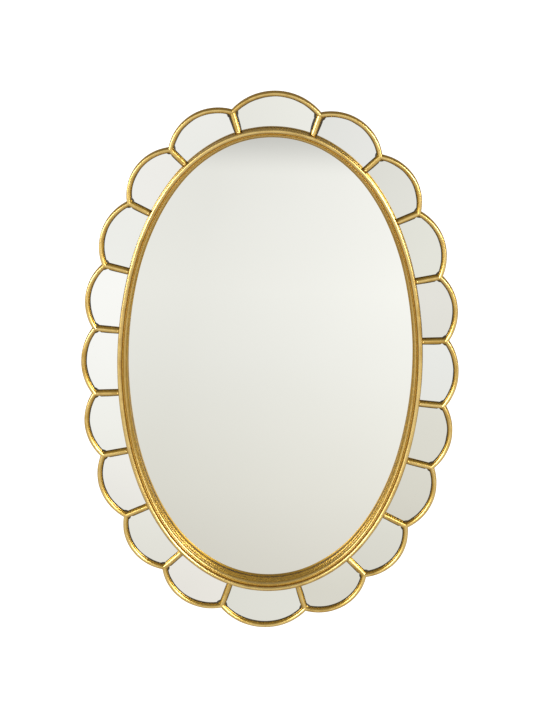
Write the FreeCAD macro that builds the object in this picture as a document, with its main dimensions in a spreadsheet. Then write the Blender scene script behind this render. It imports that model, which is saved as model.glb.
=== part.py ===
import FreeCAD, Part
import math
import os

import Sketcher

os.makedirs("parts", exist_ok=True)
doc = FreeCAD.newDocument("scalloped_mirror")
dims = doc.addObject("Spreadsheet::Sheet", "dims")
Vector = FreeCAD.Vector

# Sizes in mm and angles in degrees. Heights are measured from the wall towards the room.
# Anything named reach, bulge or divider was read from the photograph.
sizes = {
    "ring_half_width": 246, "ring_half_height": 394, "oval_fullness": 2.13, "flower_drop": 4.2,
    "pad_depth": 5, "pad_radius": 8, "pad_shift": 22,
    "board_thickness": 16, "board_inset": 5, "rebate_depth": 7, "rebate_inset": 4.5,
    "opening_inset": 11.5, "glass_play": 0.5, "back_thickness": 3, "glass_thickness": 4,
    "petal_glass_thickness": 3, "petal_glass_gap": 0.4, "corner_radius": 9,
    "rim_width": 7.5, "rim_wall": 7.5, "rim_crown": 3.2,
    "divider_width": 8.5, "divider_wall": 7.2, "divider_crown": 3, "web_height": 6.5,
    "ring_wall": 12, "bead_width": 5.4, "bead_rise": 3.4, "bead_drop": 0.6,
    "groove_width": 4.2, "groove_dip": 2.2, "groove_exit": 1.4,
    "step_width": 4.4, "step_rise": 1.1, "step_drop": 3.6,
    "quirk_width": 0.4, "quirk_drop": 1.6,
    "lip_width": 1.6, "lip_rise": 0.5, "lip_drop": 2.2, "lip_thickness": 4,
    "clip_width": 11, "clip_length": 30, "clip_thickness": 1.2, "clip_back": 9,
    "screw_radius": 1.75, "screw_play": 0.05, "screw_depth": 10,
    "screw_head_radius": 3.2, "screw_head_height": 1.9, "head_edge": 0.7,
    "recess_width": 2.6, "recess_depth": 0.9, "recess_slot": 0.7,
    "strap_width": 12, "strap_length": 36, "strap_thickness": 1, "strap_end": 6,
    "strap_first_screw": 13, "strap_second_screw": 29,
    "wire_radius": 1.1, "wire_play": 0.06, "loop_radius": 9, "loop_riser": 5,
    "hanger_back": 30,
}
divider_angles = [12.3, 33.4, 51.8, 68.5, 83.2]
divider_reaches = [41.5, 39.3, 41.4, 43.3, 42.4]
petal_bulges = [32.3, 25.4, 22.8, 20.8, 19.3, 18.3]
clip_angles = [22, 52, 90]
hanger_angle = 65
oval_joints = [0, 20, 40, 52, 68, 90]


def put(name, value):
    row = put.row = getattr(put, "row", 0) + 1
    dims.set("A%d" % row, name)
    dims.set("B%d" % row, repr(float(value)))
    dims.setAlias("B%d" % row, name)
    sizes[name] = float(value)


for name, value in list(sizes.items()):
    put(name, value)
for number, (angle, reach) in enumerate(zip(divider_angles, divider_reaches), 1):
    put("divider_angle_%d" % number, angle)
    put("divider_reach_%d" % number, reach)
for number, bulge in enumerate(petal_bulges, 1):
    put("petal_bulge_%d" % number, bulge)
put("board_back", sizes["pad_depth"])
put("board_front", sizes["board_back"] + sizes["board_thickness"])
put("glass_front", sizes["board_back"] + sizes["rebate_depth"])
put("axle_height", sizes["board_back"] - sizes["strap_thickness"] - sizes["wire_radius"] - sizes["wire_play"])
doc.recompute()
s = sizes

full_turn = 360.0
quarter = full_turn / 4
tilt = FreeCAD.Rotation(Vector(1, 0, 0), quarter)
facing = FreeCAD.Placement(Vector(), tilt)
cut_span = 8 * (s["board_front"] + s["ring_wall"])
origin_number = -1


def placed(point, spin=0.0):
    """Where a flat part goes that was drawn in the plane of the mirror, spun about its own normal."""
    return FreeCAD.Placement(Vector(point.x, 0, point.y), tilt * FreeCAD.Rotation(Vector(0, 0, 1), spin))


def norm(v):
    return v * (1 / v.Length)


def power(value, exponent):
    """Power that keeps the sign of its base."""
    return math.copysign(abs(value) ** exponent, value)


def on_oval(half_width, half_height, angle):
    """Point of an oval that is a little fuller at its shoulders than an ellipse."""
    a, bend_power = math.radians(angle), 2 / s["oval_fullness"]
    return Vector(half_width * power(math.sin(a), bend_power), half_height * power(math.cos(a), bend_power), 0)


def oval_normal(half_width, half_height, angle):
    share = on_oval(1, 1, angle)
    steep = s["oval_fullness"] - 1
    return norm(Vector(power(share.x, steep) / half_width, power(share.y, steep) / half_height, 0))


def left_of(v):
    return Vector(-v.y, v.x, 0)


def circles_meet(c1, r1, c2, r2, near):
    """The crossing of two circles that lies nearer to a given point."""
    across = c2 - c1
    d = across.Length
    along = (d * d + r1 * r1 - r2 * r2) / (2 * d)
    off = math.sqrt(r1 * r1 - along * along)
    base = c1 + norm(across) * along
    ends = [base + left_of(norm(across)) * k * off for k in (-1, 1)]
    return min(ends, key=lambda p: (p - near).Length)


def line_meets_circle(point, way, centre, radius, near):
    to = point - centre
    b = to.dot(way)
    root = math.sqrt(b * b - to.dot(to) + radius * radius)
    ends = [point + way * (k * root - b) for k in (-1, 1)]
    return min(ends, key=lambda p: (p - near).Length)


def heading(bearing):
    return Vector(math.sin(bearing), math.cos(bearing), 0)


def workshop_oval():
    """One quarter of the oval as arcs that share their normals where they meet."""
    bearings, marks = [], []
    for joint in oval_joints:
        normal = oval_normal(s["ring_half_width"], s["ring_half_height"], joint)
        bearings.append(math.atan2(normal.x, normal.y))
        marks.append(on_oval(s["ring_half_width"], s["ring_half_height"], joint))
    spans = list(zip(bearings, bearings[1:]))
    chords = [(b - a).Length for a, b in zip(marks, marks[1:])]
    radii = [chord / (2 * math.sin((b - a) / 2)) for chord, (a, b) in zip(chords, spans)]
    steps = [heading(b) - heading(a) for a, b in spans]
    missing = Vector(s["ring_half_width"], -s["ring_half_height"], 0)
    for step, radius in zip(steps, radii):
        missing -= step * radius
    xx, xy, yy = (sum(a * b for a, b in pairs) for pairs in (
        [(t.x, t.x) for t in steps], [(t.x, t.y) for t in steps], [(t.y, t.y) for t in steps]))
    share = xx * yy - xy * xy
    fix = Vector((yy * missing.x - xy * missing.y) / share, (xx * missing.y - xy * missing.x) / share, 0)
    radii = [radius + step.dot(fix) for step, radius in zip(steps, radii)]
    centre = Vector(0, s["ring_half_height"] - radii[0], 0)
    arcs = []
    for (start, end), radius, following in zip(spans, radii, radii[1:] + [radii[-1]]):
        arcs.append((centre, radius, start, end))
        centre = centre + heading(end) * (radius - following)
    return arcs


quarter_arcs = workshop_oval()
oval_arcs = []
for right, up in ((1, 1), (1, -1), (-1, -1), (-1, 1)):
    for centre, radius, start, end in (quarter_arcs if right == up else quarter_arcs[::-1]):
        flipped = [math.atan2(right * math.sin(b), up * math.cos(b)) % math.radians(full_turn)
                   for b in ((start, end) if right == up else (end, start))]
        if flipped[1] < flipped[0]:
            flipped[1] += math.radians(full_turn)
        oval_arcs.append((Vector(right * centre.x, up * centre.y, 0), radius, flipped[0], flipped[1]))


def smaller_oval(inset):
    """Arcs of the oval moved inwards by an inset, clockwise from the top."""
    pieces = []
    for centre, radius, start, end in oval_arcs:
        pieces.append(["arc"] + [centre + heading(b) * (radius - inset) for b in (start, (start + end) / 2, end)])
    for piece, following in zip(pieces, pieces[1:] + pieces[:1]):
        piece[3] = following[1]
    return pieces


# Four quarters of the flower share the same five dividers and the petals between them.
# The whole flower sits a little lower than the ring, so its dividers slide along the ring's wall.
turned = list(zip(divider_angles, divider_reaches))
quarters = []
for q in range(4):
    half_turns = full_turn / 2 * ((q + 1) // 2)
    if q % 2:
        quarters += [(half_turns - a, r) for a, r in reversed(turned)]
    else:
        quarters += [(half_turns + a, r) for a, r in turned]
dividers = []
for angle, reach in quarters:
    foot = on_oval(s["ring_half_width"], s["ring_half_height"], angle)
    way = oval_normal(s["ring_half_width"], s["ring_half_height"], angle)
    shift = Vector(0, -s["flower_drop"], 0)
    dividers.append({"foot": foot + shift - way * shift.dot(way), "way": way, "notch": foot + shift + way * reach})

count = len(dividers)
half_list = petal_bulges + petal_bulges[-2:0:-1]
bulges = half_list * 2
petals = []
for k in range(count):
    before, after = dividers[k - 1], dividers[k]
    chord = after["notch"] - before["notch"]
    middle = (after["notch"] + before["notch"]) * (1 / 2)
    outward = left_of(norm(chord))
    bulge = bulges[k]
    radius = (chord.Length ** 2 / 4 + bulge ** 2) / (2 * bulge)
    petals.append({
        "before": before, "after": after, "outward": outward, "radius": radius,
        "centre": middle - outward * (radius - bulge),
        "half_angle": math.degrees(math.asin(chord.Length / 2 / radius)),
    })
for k, divider in enumerate(dividers):
    one, two = petals[k], petals[(k + 1) % count]
    divider["inner"] = circles_meet(
        one["centre"], one["radius"] - s["rim_width"],
        two["centre"], two["radius"] - s["rim_width"], divider["notch"])
    divider["board"] = circles_meet(
        one["centre"], one["radius"] - s["board_inset"],
        two["centre"], two["radius"] - s["board_inset"], divider["notch"])


def corner(petal, divider, side, gap):
    """Rounded corner of a petal's cell beside a divider: centre, end on the divider, end on the rim."""
    away = left_of(divider["way"]) * side
    start = divider["foot"] + away * (s["divider_width"] / 2 + s["corner_radius"])
    inner = petal["radius"] - s["rim_width"]
    centre = line_meets_circle(start, divider["way"], petal["centre"], inner - s["corner_radius"],
                               divider["notch"])
    on_side = centre - away * (s["corner_radius"] - gap)
    on_rim = petal["centre"] + norm(centre - petal["centre"]) * (inner - gap)
    return centre, on_side, on_rim


def bend(centre, start, end):
    """Middle point of the shorter arc from start to end."""
    half = norm(norm(start - centre) + norm(end - centre))
    return centre + half * (start - centre).Length


def plane_of(body, role):
    return next(f for f in body.Origin.OriginFeatures if f.Role == role)


def draw(owner, name, pieces, role=None, height=None):
    """Sketch of lines, arcs and circles whose touching ends are joined by constraints."""
    if role:
        sketch = owner.newObject("Sketcher::SketchObject", name)
        sketch.AttachmentSupport = [(plane_of(owner, role), "")]
        sketch.MapMode = "FlatFace"
        if height:
            sketch.setExpression(".AttachmentOffset.Base.z", height)
    else:
        sketch = doc.addObject("Sketcher::SketchObject", name)
    ends = []
    for piece in pieces:
        kind, points = piece[0], piece[1:]
        if kind == "line":
            number = sketch.addGeometry(Part.LineSegment(*points))
        elif kind == "arc":
            number = sketch.addGeometry(Part.Arc(*points))
        else:
            number = sketch.addGeometry(Part.Circle(points[0], Vector(0, 0, 1), points[1]))
        if kind in ("line", "arc"):
            ends += [(number, end, sketch.getPoint(number, end)) for end in (1, 2)]
    near = 1e-4
    for i, (number, end, point) in enumerate(ends):
        for other, other_end, there in ends[i + 1:]:
            if number != other and (point - there).Length < near:
                sketch.addConstraint(Sketcher.Constraint("Coincident", number, end, other, other_end))
    return sketch


def bind_distance(sketch, kind, first, second, name, text, value):
    sketch.addConstraint(Sketcher.Constraint(kind, *first, *second, value))
    index = sketch.ConstraintCount - 1
    sketch.renameConstraint(index, name)
    sketch.setExpression("Constraints." + name, text)


def chain(points):
    return [("line", a, b) for a, b in zip(points, points[1:] + points[:1])]


def new_body(name, place=facing):
    body = doc.addObject("PartDesign::Body", name)
    body.Label = name
    body.Placement = place
    return body


def pad(body, sketch, length):
    feature = body.newObject("PartDesign::Pad", "pad")
    feature.Profile = sketch
    feature.setExpression("Length", length)
    sketch.Visibility = False
    return feature


def cut(body, sketch, span=cut_span):
    """Cut that goes the same way to both sides of its sketch."""
    feature = body.newObject("PartDesign::Pocket", "cut")
    feature.Profile = sketch
    feature.Midplane = True
    feature.Length = span
    sketch.Visibility = False
    return feature


def dome(owner, name, left, width, base, wall, crown, role=None, bound=None):
    """Bar section: flat foot, two upright walls and a round crown; left is its inner side."""
    low_left, low_right = Vector(left, base, 0), Vector(left + width, base, 0)
    high_left, high_right = Vector(left, base + wall, 0), Vector(left + width, base + wall, 0)
    top = Vector(left + width / 2, base + wall + crown, 0)
    sketch = draw(owner, name, [
        ("line", low_left, low_right), ("line", low_right, high_right),
        ("arc", high_right, top, high_left), ("line", high_left, low_left)], role)
    foot, right, _, left_wall = range(4)
    sketch.addConstraint(Sketcher.Constraint("Horizontal", foot))
    sketch.addConstraint(Sketcher.Constraint("Vertical", right))
    sketch.addConstraint(Sketcher.Constraint("Vertical", left_wall))
    bind_distance(sketch, "DistanceX", (foot, 1), (foot, 2), "across", bound + "_width", width)
    bind_distance(sketch, "DistanceY", (right, 1), (right, 2), "upright", bound + "_wall", wall)
    bind_distance(sketch, "DistanceY", (origin_number, 1), (foot, 1), "foot", "dims.board_front", base)
    return sketch


nodes = []

# The twenty outer rims are bent bars: a domed section turned about the middle of its petal,
# then mitred at both notches so that neighbours meet face to face.
rims = []
for k, petal in enumerate(petals):
    outward = petal["outward"]
    spin = math.degrees(math.atan2(outward.y, outward.x))
    body = new_body("petal_rim_%02d" % (k + 1), placed(petal["centre"], spin))
    section = dome(body, "section", petal["radius"] - s["rim_width"], s["rim_width"],
                   s["board_front"], s["rim_wall"], s["rim_crown"], "XZ_Plane", "dims.rim")
    turn = body.newObject("PartDesign::Revolution", "turn")
    turn.Profile = section
    turn.ReferenceAxis = (section, ["V_Axis"])
    turn.Midplane = True
    spare_angle = 8
    turn.Angle = 2 * (petal["half_angle"] + spare_angle)
    spare = 3 * s["rim_width"]
    mitres = []
    for divider, side in ((petal["before"], 1), (petal["after"], -1)):
        local = []
        for p in (divider["notch"], divider["inner"]):
            d = p - petal["centre"]
            local.append(Vector(d.dot(outward), d.dot(left_of(outward)), 0))
        along = norm(local[0] - local[1])
        away = left_of(along) * side
        outer, inner = local[0] + along * spare, local[1] - along * spare
        mitres += chain([outer, inner, inner + away * 2 * spare, outer + away * 2 * spare])
    cut(body, draw(body, "mitres", mitres, "XY_Plane"))
    rims.append(body)
    nodes.append(body)

# Each petal has its own piece of mirror glass, cut to the cell that its bars leave.
gap = s["petal_glass_gap"]
for k, petal in enumerate(petals):
    sides = []
    for divider, side in ((petal["before"], -1), (petal["after"], 1)):
        centre, on_side, on_rim = corner(petal, divider, side, gap)
        low = on_side - divider["way"] * (on_side - divider["foot"]).dot(divider["way"])
        sides.append((centre, low - divider["way"] * s["pad_depth"], on_side, on_rim))
    (c1, low1, side1, rim1), (c2, low2, side2, rim2) = sides
    body = new_body("petal_mirror_%02d" % (k + 1))
    outline = draw(body, "outline", [
        ("line", low1, side1), ("arc", side1, bend(c1, side1, rim1), rim1),
        ("arc", rim1, bend(petal["centre"], rim1, rim2), rim2),
        ("arc", rim2, bend(c2, rim2, side2), side2), ("line", side2, low2), ("line", low2, low1),
    ], "XY_Plane", "dims.board_front")
    pad(body, outline, "dims.petal_glass_thickness")
    foot = draw(body, "ring_side", smaller_oval(-gap), "XY_Plane")
    cut(body, foot)
    nodes.append(body)

# The dividers are straight bars, coped at one end to the ring and at the other to two rims,
# with a small weld web in each corner.
bars = []
for k, divider in enumerate(dividers):
    way = divider["way"]
    world_way = Vector(way.x, 0, way.y)
    up = Vector(0, -1, 0)
    across = up.cross(world_way)
    one, two = petals[k], petals[(k + 1) % count]
    crest = circles_meet(one["centre"], one["radius"] - s["rim_width"] / 2,
                         two["centre"], two["radius"] - s["rim_width"] / 2, divider["notch"])
    length = (crest - divider["foot"]).dot(way)
    start = divider["foot"] - way * s["pad_depth"]
    section = dome(doc, "divider_section", -s["divider_width"] / 2, s["divider_width"],
                   s["board_front"], s["divider_wall"], s["divider_crown"], None, "dims.divider")
    section.Placement = FreeCAD.Placement(Vector(start.x, 0, start.y),
                                          FreeCAD.Rotation(across, up, world_way, "ZYX"))
    bar = doc.addObject("Part::Extrusion", "bar")
    bar.Base = section
    bar.DirMode = "Custom"
    bar.Dir = world_way
    bar.LengthFwd = length + s["pad_depth"]
    bar.Solid = True
    bars.append(bar)
all_bars = doc.addObject("Part::Compound", "all_bars")
all_bars.Links = bars
ring_plan = draw(doc, "ring_plan", smaller_oval(0))
ring_plan.Placement = facing
ring_core = doc.addObject("Part::Extrusion", "ring_core")
ring_core.Base = ring_plan
ring_core.DirMode = "Custom"
ring_core.Dir = Vector(0, -1, 0)
ring_core.LengthFwd = cut_span
ring_core.Solid = True
to_ring = doc.addObject("Part::Cut", "to_ring")
to_ring.Base = all_bars
to_ring.Tool = ring_core
all_rims = doc.addObject("Part::Compound", "all_rims")
all_rims.Links = rims
to_rims = doc.addObject("Part::Cut", "to_rims")
to_rims.Base = to_ring
to_rims.Tool = all_rims
web_pieces = []
for petal in petals:
    for divider, side in ((petal["before"], -1), (petal["after"], 1)):
        centre, on_side, on_rim = corner(petal, divider, side, 0)
        edge = divider["foot"] + left_of(divider["way"]) * side * s["divider_width"] / 2
        tip = line_meets_circle(edge, divider["way"], petal["centre"],
                                petal["radius"] - s["rim_width"], divider["notch"])
        web_pieces += [("line", tip, on_side), ("arc", on_side, bend(centre, on_side, on_rim), on_rim),
                       ("arc", on_rim, bend(petal["centre"], on_rim, tip), tip)]
web_plan = draw(doc, "web_plan", web_pieces)
web_plan.Placement = FreeCAD.Placement(Vector(0, -s["board_front"], 0), tilt)
webs = doc.addObject("Part::Extrusion", "webs")
webs.Base = web_plan
webs.DirMode = "Custom"
webs.Dir = Vector(0, -1, 0)
webs.setExpression("LengthFwd", "dims.web_height")
webs.Solid = True
divider_bars = doc.addObject("Part::MultiFuse", "divider_bars")
divider_bars.Shapes = [to_rims, webs]
divider_bars.Refine = True
divider_bars.Label = "divider_bars"
nodes.append(divider_bars)

# The oval ring is one moulding turned round each arc of the oval: upright outer wall, round bead,
# hollow groove, rounded step, quirk and a lip whose leg reaches down to the centre glass.
inset, height = 0.0, s["board_front"] + s["ring_wall"]
outer_foot = Vector(0, s["board_front"], 0)
moulding = [("line", outer_foot, Vector(0, height, 0))]
for width, mid_rise, drop in (
        (s["bead_width"], s["bead_rise"], s["bead_drop"]),
        (s["groove_width"], -s["groove_dip"], s["groove_exit"]),
        (s["step_width"], s["step_rise"], s["step_drop"]),
        (s["quirk_width"], None, s["quirk_drop"]),
        (s["lip_width"], s["lip_rise"], s["lip_drop"])):
    start = Vector(-inset, height, 0)
    inset, height = inset + width, height - drop
    end = Vector(-inset, height, 0)
    if mid_rise is None:
        moulding.append(("line", start, end))
    else:
        moulding.append(("arc", start, (start + end) * (1 / 2) + Vector(0, mid_rise, 0), end))
leg = [Vector(-inset, height, 0), Vector(-inset, s["glass_front"], 0),
       Vector(s["lip_thickness"] - inset, s["glass_front"], 0),
       Vector(s["lip_thickness"] - inset, s["board_front"], 0), outer_foot]
moulding += [("line", a, b) for a, b in zip(leg, leg[1:])]
lengths = []
for centre, radius, start, end in oval_arcs:
    section = draw(doc, "moulding", moulding)
    at = centre + heading(start) * radius
    way = Vector(heading(start).x, 0, heading(start).y)
    up = Vector(0, -1, 0)
    section.Placement = FreeCAD.Placement(Vector(at.x, 0, at.y), FreeCAD.Rotation(way, up, way.cross(up), "XYZ"))
    length = doc.addObject("Part::Revolution", "ring_length")
    length.Source = section
    length.Axis = Vector(0, 1, 0)
    length.Base = Vector(centre.x, 0, centre.y)
    length.Angle = math.degrees(end - start)
    length.Solid = True
    lengths.append(length)
ring = doc.addObject("Part::MultiFuse", "oval_ring")
ring.Shapes = lengths
ring.Refine = True
ring.Label = "oval_ring"
nodes.append(ring)

# The carrier board has the scalloped outline, set back under the rims, an oval opening and a
# rebate behind it for the centre glass and its back board.
board = new_body("carrier_board")
scallops = [("arc", p["before"]["board"], p["centre"] + p["outward"] * (p["radius"] - s["board_inset"]),
             p["after"]["board"]) for p in petals]

outline = draw(board, "outline", scallops + smaller_oval(s["opening_inset"]), "XY_Plane", "dims.board_back")
pad(board, outline, "dims.board_thickness")
rebate = draw(board, "rebate_plan", smaller_oval(s["rebate_inset"]), "XY_Plane", "dims.board_back")
rebate_cut = cut(board, rebate)
rebate_cut.setExpression("Length", "2 * dims.rebate_depth")

inset_oval = [s["ring_half_width"] - s["rebate_inset"], s["ring_half_height"] - s["rebate_inset"]]
clip_points = []
for angle in clip_angles:
    for q in range(4):
        half_turns = full_turn / 2 * ((q + 1) // 2)
        turned_angle = half_turns + (-angle if q % 2 else angle)
        place = on_oval(*inset_oval, turned_angle)
        way = oval_normal(*inset_oval, turned_angle)
        if all((place - other).Length > s["clip_length"] for other, _ in clip_points):
            clip_points.append((place, way))
clip_screws_at = [place + way * s["clip_back"] for place, way in clip_points]
hanger_at = [on_oval(*inset_oval, side * hanger_angle)
             + oval_normal(*inset_oval, side * hanger_angle) * s["hanger_back"] for side in (-1, 1)]
hanger_screws_at = [point - Vector(0, s[name], 0) for point in hanger_at
                    for name in ("strap_first_screw", "strap_second_screw")]
screw_holes = draw(board, "screw_holes", [
    ("ring", point, s["screw_radius"] + s["screw_play"]) for point in clip_screws_at + hanger_screws_at],
    "XY_Plane", "dims.board_back")
holes_cut = cut(board, screw_holes)
holes_cut.setExpression("Length", "2 * (dims.screw_depth + dims.clip_thickness)")
nodes.append(board)

for label, base, thickness, inset in (
        ("centre_mirror", "dims.glass_front - dims.glass_thickness", "dims.glass_thickness", s["rebate_inset"]),
        ("back_board", "dims.board_back", "dims.back_thickness", s["rebate_inset"])):
    body = new_body(label)
    plan = draw(body, "plan", smaller_oval(inset + s["glass_play"]), "XY_Plane", base)
    pad(body, plan, thickness)
    nodes.append(body)

# Flat steel clips keep the back board in; each is a round-ended strip with one screw.
clips = []
for place, way in clip_points:
    half = s["clip_width"] / 2
    reach = s["clip_length"] / 2 - half
    middle = place + way * (s["clip_back"] + half - s["clip_length"] / 2)
    spin = math.degrees(math.atan2(way.y, way.x))
    ends = [Vector(-reach, -half, 0), Vector(reach, -half, 0), Vector(reach, half, 0), Vector(-reach, half, 0)]
    plan = draw(doc, "clip_plan", [
        ("line", ends[0], ends[1]), ("arc", ends[1], Vector(reach + half, 0, 0), ends[2]),
        ("line", ends[2], ends[3]), ("arc", ends[3], Vector(-reach - half, 0, 0), ends[0]),
        ("ring", Vector((place + way * s["clip_back"] - middle).dot(way), 0, 0),
         s["screw_radius"] + s["screw_play"])])
    plan.Placement = placed(middle, spin).multiply(
        FreeCAD.Placement(Vector(0, 0, s["board_back"] - s["clip_thickness"]), FreeCAD.Rotation()))
    strip = doc.addObject("Part::Extrusion", "clip")
    strip.Base = plan
    strip.DirMode = "Custom"
    strip.Dir = Vector(0, -1, 0)
    strip.setExpression("LengthFwd", "dims.clip_thickness")
    strip.Solid = True
    clips.append(strip)
retainer_clips = doc.addObject("Part::Compound", "retainer_clips")
retainer_clips.Links = clips
retainer_clips.Label = "retainer_clips"
nodes.append(retainer_clips)


def screws(label, points, under):
    """Pan-head screws with a cross recess, drawn as one turned section each."""
    made = []
    head_foot = under
    for point in points:
        r, head, top = s["screw_radius"], s["screw_head_radius"], s["screw_head_height"]
        outline = [Vector(0, head_foot + s["screw_depth"], 0), Vector(r, head_foot + s["screw_depth"] - r, 0),
                   Vector(r, head_foot, 0), Vector(head, head_foot, 0),
                   Vector(head, head_foot - top + s["head_edge"], 0),
                   Vector(head - s["head_edge"], head_foot - top, 0), Vector(0, head_foot - top, 0)]
        body = new_body(label + "_one", placed(point))
        turn = body.newObject("PartDesign::Revolution", "turn")
        section = draw(body, "section", chain(outline), "XZ_Plane")
        turn.Profile = section
        turn.ReferenceAxis = (section, ["V_Axis"])
        turn.Angle = full_turn
        body.Tip = turn
        half, slot = s["recess_width"] / 2, s["recess_slot"] / 2
        cross = [Vector(slot, slot, 0), Vector(slot, half, 0), Vector(-slot, half, 0), Vector(-slot, slot, 0),
                 Vector(-half, slot, 0), Vector(-half, -slot, 0), Vector(-slot, -slot, 0),
                 Vector(-slot, -half, 0), Vector(slot, -half, 0), Vector(slot, -slot, 0),
                 Vector(half, -slot, 0), Vector(half, slot, 0)]
        recess = draw(body, "recess", chain(cross), "XY_Plane")
        recess.AttachmentOffset = FreeCAD.Placement(Vector(0, 0, head_foot - top), FreeCAD.Rotation())
        recess_cut = cut(body, recess)
        recess_cut.setExpression("Length", "2 * dims.recess_depth")
        made.append(body)
    group = doc.addObject("Part::Compound", label)
    group.Links = made
    group.Label = label
    nodes.append(group)


screws("clip_screws", clip_screws_at, s["board_back"] - s["clip_thickness"])
screws("hanger_screws", hanger_screws_at, s["board_back"] - s["strap_thickness"])

# Each hanger is a strap with a rolled eye at its upper end, and a wire loop that swings in it.
eye_radius = s["wire_radius"] + s["wire_play"]
eye_outside = eye_radius + s["strap_thickness"]
for side, point in zip(("left", "right"), hanger_at):
    body = new_body("hanger_strap_" + side, placed(point))
    half, length = s["strap_width"] / 2, s["strap_length"]
    plan = draw(body, "plan", [
        ("line", Vector(half, 0, 0), Vector(-half, 0, 0)),
        ("line", Vector(-half, 0, 0), Vector(-half, half - length, 0)),
        ("arc", Vector(-half, half - length, 0), Vector(0, -length, 0), Vector(half, half - length, 0)),
        ("line", Vector(half, half - length, 0), Vector(half, 0, 0)),
        ("ring", Vector(0, -s["strap_first_screw"], 0), s["screw_radius"] + s["screw_play"]),
        ("ring", Vector(0, -s["strap_second_screw"], 0), s["screw_radius"] + s["screw_play"])],
        "XY_Plane", "dims.board_back - dims.strap_thickness")
    pad(body, plan, "dims.strap_thickness")
    eye = draw(body, "eye", [("ring", Vector(0, s["axle_height"], 0), eye_outside)], "YZ_Plane")
    roll = pad(body, eye, "dims.strap_width")
    roll.Midplane = True
    bore = draw(body, "bore", [("ring", Vector(0, s["axle_height"], 0), eye_radius)], "YZ_Plane")
    cut(body, bore)
    nodes.append(body)

for side, point in zip(("left", "right"), hanger_at):
    axle = doc.addObject("Part::Cylinder", "axle")
    axle.setExpression("Radius", "dims.wire_radius")
    axle.setExpression("Height", "2 * dims.loop_radius")
    axle.Placement = FreeCAD.Placement(Vector(-s["loop_radius"], 0, 0), FreeCAD.Rotation(Vector(0, 1, 0), quarter))
    pieces = [axle]
    for hand in (-1, 1):
        riser = doc.addObject("Part::Cylinder", "riser")
        riser.setExpression("Radius", "dims.wire_radius")
        riser.setExpression("Height", "dims.loop_riser")
        riser.Placement.Base = Vector(hand * s["loop_radius"], 0, 0)
        bend_ball = doc.addObject("Part::Sphere", "bend_ball")
        bend_ball.setExpression("Radius", "dims.wire_radius")
        bend_ball.Placement.Base = Vector(hand * s["loop_radius"], 0, 0)
        pieces += [riser, bend_ball]
    hoop = doc.addObject("Part::Torus", "hoop")
    hoop.setExpression("Radius1", "dims.loop_radius")
    hoop.setExpression("Radius2", "dims.wire_radius")
    hoop.Angle3 = full_turn / 2
    hoop.Placement = FreeCAD.Placement(Vector(0, 0, s["loop_riser"]), FreeCAD.Rotation(Vector(1, 0, 0), quarter))
    pieces.append(hoop)
    loop = doc.addObject("Part::MultiFuse", "d_ring_" + side)
    loop.Shapes = pieces
    loop.Refine = True
    loop.Label = "d_ring_" + side
    loop.Placement.Base = Vector(point.x, -s["axle_height"], point.y)
    nodes.append(loop)

# Four soft pads hold the mirror off the wall.
pad_words = ("upper_right", "lower_right", "lower_left", "upper_left")
pad_dividers = [1, count // 2 - 2, count // 2 + 1, count - 2]
for word, number in zip(pad_words, pad_dividers):
    divider = dividers[number]
    body = new_body("wall_pad_" + word, placed(divider["foot"] + divider["way"] * s["pad_shift"]))
    plan = draw(body, "plan", [("ring", Vector(), s["pad_radius"])], "XY_Plane")
    plan.addConstraint(Sketcher.Constraint("Coincident", 0, 3, origin_number, 1))
    plan.addConstraint(Sketcher.Constraint("Radius", 0, s["pad_radius"]))
    plan.setExpression("Constraints[1]", "dims.pad_radius")
    pad(body, plan, "dims.pad_depth")
    nodes.append(body)

doc.recompute()

for obj in doc.Objects:
    if any(word in obj.State for word in ("Invalid", "Error")):
        raise RuntimeError("%s did not recompute: %s" % (obj.Name, obj.State))
for node in nodes:
    shape = node.Shape
    if shape.isNull() or not shape.isValid() or not shape.Solids:
        raise RuntimeError(node.Label + " has no valid solid")
    box = shape.BoundBox
    print("%-24s solids %2d volume %9.0f  x %.1f %.1f  y %.1f %.1f  z %.1f %.1f" % (
        node.Label, len(shape.Solids), shape.Volume, box.XMin, box.XMax, box.YMin, box.YMax, box.ZMin, box.ZMax))
    shape.exportStep("parts/%s.step" % node.Label)
print(len(nodes), "nodes")
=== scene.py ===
import math
import random

import bmesh
import bpy
from mathutils import Matrix, Vector, noise


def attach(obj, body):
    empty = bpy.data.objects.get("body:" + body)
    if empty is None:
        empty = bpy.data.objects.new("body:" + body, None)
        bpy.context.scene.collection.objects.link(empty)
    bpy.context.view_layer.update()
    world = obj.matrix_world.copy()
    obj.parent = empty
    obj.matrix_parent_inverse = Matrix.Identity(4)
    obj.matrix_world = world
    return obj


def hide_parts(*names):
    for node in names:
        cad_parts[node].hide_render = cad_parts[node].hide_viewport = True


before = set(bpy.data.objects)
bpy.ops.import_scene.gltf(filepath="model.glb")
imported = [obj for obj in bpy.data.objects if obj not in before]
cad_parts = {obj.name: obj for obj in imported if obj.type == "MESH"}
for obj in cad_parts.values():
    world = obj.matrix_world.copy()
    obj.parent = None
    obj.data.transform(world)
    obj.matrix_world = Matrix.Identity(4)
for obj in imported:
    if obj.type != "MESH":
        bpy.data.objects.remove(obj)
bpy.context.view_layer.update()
mm = 0.001
print("frame loaded")

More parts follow.
